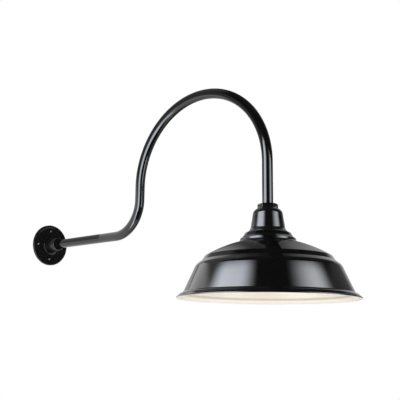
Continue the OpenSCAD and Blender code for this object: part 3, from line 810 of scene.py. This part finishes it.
# What reflections see beyond the ring: the light that the flange's rim and hub mirror, a dim glow on the
# wall's side, and dark between. Each edge is soft, from one share of a direction to another: its share along
# the light, towards the wall or up.
SIDE_BEARING = math.radians(177)
SIDE_DIRECTION = (math.cos(SIDE_BEARING), math.sin(SIDE_BEARING), 0.0)
SIDE_LEVEL = 3.0
SIDE_EDGE = (0.93, 0.97)
SIDE_TOP_EDGE = (0.2, 0.35)
WALL_SIDE_LEVEL = 0.3
WALL_SIDE_EDGE = (0.25, 0.5)
WALL_SIDE_FOOT_EDGE = (-0.1, 0.05)
DARK_STUDIO = 0.03


def world():
    """White to the camera, plain soft light for diffuse surfaces, and a dim studio for reflections."""
    sky = bpy.data.worlds.new("studio")
    sky.use_nodes = True
    bpy.context.scene.world = sky
    tree = Tree(sky.node_tree)
    direction = tree.nodes.new("ShaderNodeTexCoord").outputs["Generated"]
    to_wall, up = tree.parts(direction)[1:]
    along = tree.vector_math("DOT_PRODUCT", direction, SIDE_DIRECTION)
    side = tree.spread(along, *SIDE_EDGE, 0.0, SIDE_LEVEL)
    side_low = tree.spread(up, *SIDE_TOP_EDGE, 1.0, 0.0)
    wall_side = tree.math("MULTIPLY", tree.spread(to_wall, *WALL_SIDE_EDGE, 0.0, WALL_SIDE_LEVEL),
                          tree.spread(up, *WALL_SIDE_FOOT_EDGE, 0.0, 1.0))
    strength = tree.math("ADD", tree.math("MULTIPLY_ADD", side, side_low, wall_side), DARK_STUDIO)
    reflected = tree.add("ShaderNodeBackground", Color=WHITE, Strength=strength).outputs[0]
    plain = tree.add("ShaderNodeBackground", Color=WHITE, Strength=1.0).outputs[0]
    in_reflection = tree.nodes.new("ShaderNodeLightPath").outputs["Is Glossy Ray"]
    tree.show(tree.blend(in_reflection, plain, reflected), "ShaderNodeOutputWorld")


# Ring of studio walls round the head, which its gloss reflects
CAMERA_HEADING = math.atan2(CAMERA_PLACE.y - HEAD_AXIS.y, CAMERA_PLACE.x - HEAD_AXIS.x)
RING_R = 0.6
RING_TOP = 1.5
RING_SIDES = 180

# Each window and glow has four turns, in degrees from the camera: dark, full, still full and dark again
LEFT_WINDOW = (-89, -65, -43, -16)
LEFT_LEVEL = 6.8
LEFT_TINT = (0.945, 1.0, 1.11, 1.0)
RIGHT_WINDOW = (28, 66, 68, 94)
RIGHT_LEVEL = 4.9
RIGHT_TINT = (0.965, 1.0, 1.05, 1.0)
LOW_LEFT_GLOW = (-142, -118, -90, -78)
LOW_LEFT_LEVEL = 1.15
LOW_RIGHT_GLOW = (85, 95, 130, 150)
LOW_RIGHT_LEVEL = 0.12
BACK_LEFT_GLOW = (-166, -146, -146, -126)
BACK_LEFT_LEVEL = 0.6
BACK_RIGHT_GLOW = (126, 146, 146, 176)
BACK_RIGHT_LEVEL = 0.5

# A dim glow all over the back, which grows between two turns to either side
BACK_TURNS = (110, 165)
BACK_LEVEL = 0.08

# The windows' top edge: its height beside the head, what it gains towards the camera and loses at the back,
# and half the width of its fade
WINDOW_TOP = 0.235
WINDOW_TOP_GAIN = 0.29
WINDOW_TOP_FADE = 0.03

# Heights between which the low glows fade to a share of their level, and the back ones to nothing
LOW_GLOW_FADE = (0.14, 0.22)
LOW_GLOW_SHARE = 0.2
BACK_GLOW_FADE = (0.45, 1.4)


def ring_glow(tree, turn, edges, share, level):
    """A soft-edged upright strip of the ring, with a share of its level at each height."""
    start = tree.spread(turn, edges[0], edges[1], 0.0, level)
    end = tree.spread(turn, edges[2], edges[3], 1.0, 0.0)
    return tree.math("MULTIPLY", tree.math("MULTIPLY", start, end), share)


def ring_places(tree):
    """How far ahead of the head's axis a point of the ring is, its turn from the camera and its height."""
    x, y, height = tree.parts(tree.place())
    x = tree.math("SUBTRACT", x, HEAD_AXIS.x)
    y = tree.math("SUBTRACT", y, HEAD_AXIS.y)
    ahead = tree.math("ADD", tree.math("MULTIPLY", x, math.cos(CAMERA_HEADING)),
                      tree.math("MULTIPLY", y, math.sin(CAMERA_HEADING)))
    across = tree.math("SUBTRACT", tree.math("MULTIPLY", y, math.cos(CAMERA_HEADING)),
                       tree.math("MULTIPLY", x, math.sin(CAMERA_HEADING)))
    turn = tree.math("MULTIPLY", tree.math("ARCTAN2", across, ahead), math.degrees(1))
    return ahead, turn, height


def mirrored_only(piece):
    """Lets a piece of the studio show in reflections, and nowhere else."""
    piece.visible_camera = False
    piece.visible_diffuse = False
    piece.visible_transmission = False
    piece.visible_shadow = False


def light_ring():
    """Two tall windows left and right of the camera, dim glows at the sides and back, and dark between."""
    material, tree = new_material("studio_ring")
    ahead, turn, height = ring_places(tree)
    top = tree.math("MULTIPLY_ADD", tree.math("DIVIDE", ahead, RING_R), WINDOW_TOP_GAIN, WINDOW_TOP)
    below_top = tree.spread(tree.math("SUBTRACT", height, top), -WINDOW_TOP_FADE, WINDOW_TOP_FADE, 1.0, 0.0)
    left = tree.glow(ring_glow(tree, turn, LEFT_WINDOW, below_top, LEFT_LEVEL), LEFT_TINT)
    right = tree.glow(ring_glow(tree, turn, RIGHT_WINDOW, below_top, RIGHT_LEVEL), RIGHT_TINT)
    low = tree.spread(height, *LOW_GLOW_FADE, 1.0, LOW_GLOW_SHARE)
    back = tree.spread(height, *BACK_GLOW_FADE, 1.0, 0.0)
    glows = [
        (LOW_LEFT_GLOW, low, LOW_LEFT_LEVEL),
        (LOW_RIGHT_GLOW, low, LOW_RIGHT_LEVEL),
        (BACK_LEFT_GLOW, back, BACK_LEFT_LEVEL),
        (BACK_RIGHT_GLOW, back, BACK_RIGHT_LEVEL),
    ]
    dim = tree.spread(tree.math("ABSOLUTE", turn), *BACK_TURNS, 0.0, BACK_LEVEL)
    for edges, share, level in glows:
        dim = tree.math("ADD", dim, ring_glow(tree, turn, edges, share, level))
    walls = tree.both(tree.both(left, right), tree.glow(dim))
    tree.show(tree.front_and_back(walls, tree.glow(0.0)))
    points = [round_head(RING_R, t, z) for z in (FLOOR_Z, RING_TOP) for t in turns(RING_SIDES)]
    faces = belt(0, RING_SIDES, RING_SIDES, turned=True)
    mirrored_only(mesh_piece("studio_ring", points, faces, [material]))


# Black flags that stand between the head and the ring. Without them, the far side of the head would mirror
# a window edge-on. Each is clear from its back. Their inner edge follows the cap and the shade, at a gap.
FLAG_GAP = 3 * MM
FLAG_CAP_R = 20 * MM
FLAG_R = 0.4
FLAG_LOW = -0.27

# A top edge is a list of places from the outer end inwards, as distance from the head's axis and height
FRONT_FLAG_R = 0.55
FRONT_FLAG_TOP = 0.4
SIDE_FLAG_START_R = 0.07
SIDE_FLAG_TOP = -0.02
FRONT_FLAG_EDGE = [(FRONT_FLAG_R, FRONT_FLAG_TOP), (FLAG_CAP_R, FRONT_FLAG_TOP)]
SIDE_FLAG_EDGE = [(FLAG_R, SIDE_FLAG_TOP), (SIDE_FLAG_START_R, SIDE_FLAG_TOP)]

# Where the flags stand, in degrees from the camera
FRONT_LEFT_TURN = 12
FRONT_RIGHT_TURN = 4
LEFT_TURN = -84
RIGHT_TURN = 100


def flag_material():
    """Black on the front and clear on the back."""
    material, tree = new_material("studio_flag")
    clear = tree.nodes.new("ShaderNodeBsdfTransparent").outputs[0]
    tree.show(tree.front_and_back(tree.glow(0.0), clear))
    return material


def flag(name, turn, top, material, turned=False):
    """An upright sheet that stands out from the head. It looks to lower turns, or when turned to higher."""
    cap_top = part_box("socket_cap")[1].z
    shade_edge = [(p.x * MM + FLAG_GAP, SHADE_HIGH.z + p.y * MM + FLAG_GAP) for p in shade_outline()[1:]]
    outline = [(FLAG_CAP_R, cap_top), (FLAG_CAP_R, shade_edge[0][1])] + shade_edge
    outline += [(FLAG_R, FLAG_LOW)] + top
    angle = CAMERA_HEADING + math.radians(turn)
    points = [round_head(radius, angle, height) for radius, height in outline]
    face = tuple(range(len(points)))
    mirrored_only(mesh_piece(name, points, [face[::-1] if turned else face], [material]))


def flags():
    """Two flags in front, which face each other, and one at each side, which faces back."""
    material = flag_material()
    flag("studio_flag_front_left", FRONT_LEFT_TURN, FRONT_FLAG_EDGE, material)
    flag("studio_flag_front_right", FRONT_RIGHT_TURN, FRONT_FLAG_EDGE, material, turned=True)
    flag("studio_flag_left", LEFT_TURN, SIDE_FLAG_EDGE, material)
    flag("studio_flag_right", RIGHT_TURN, SIDE_FLAG_EDGE, material, turned=True)


# Lamp under the shade: its size across, its power in watts, and its height over the floor
LAMP_SIZE = 1.2
LAMP_POWER = 1.2
LAMP_LIFT = 0.02


def floor_lamp():
    """A wide soft lamp on the floor that lights the shade's inside."""
    data = bpy.data.lights.new("floor_lamp", "AREA")
    data.shape = "DISK"
    data.size = LAMP_SIZE
    data.energy = LAMP_POWER
    lamp = bpy.data.objects.new("floor_lamp", data)
    lamp.location = (HEAD_AXIS.x, HEAD_AXIS.y, FLOOR_Z + LAMP_LIFT)
    lamp.rotation_euler = (math.pi, 0, 0)
    lamp.visible_camera = False
    lamp.visible_glossy = False
    bpy.context.scene.collection.objects.link(lamp)


def studio():
    """Everything round the object."""
    floor()
    world()
    light_ring()
    flags()
    floor_lamp()


bpy.context.scene.view_settings.view_transform = "Standard"
camera()
studio()
dress_cad_nodes()
shade()
arm()
lamp_shell()
contact_spring()
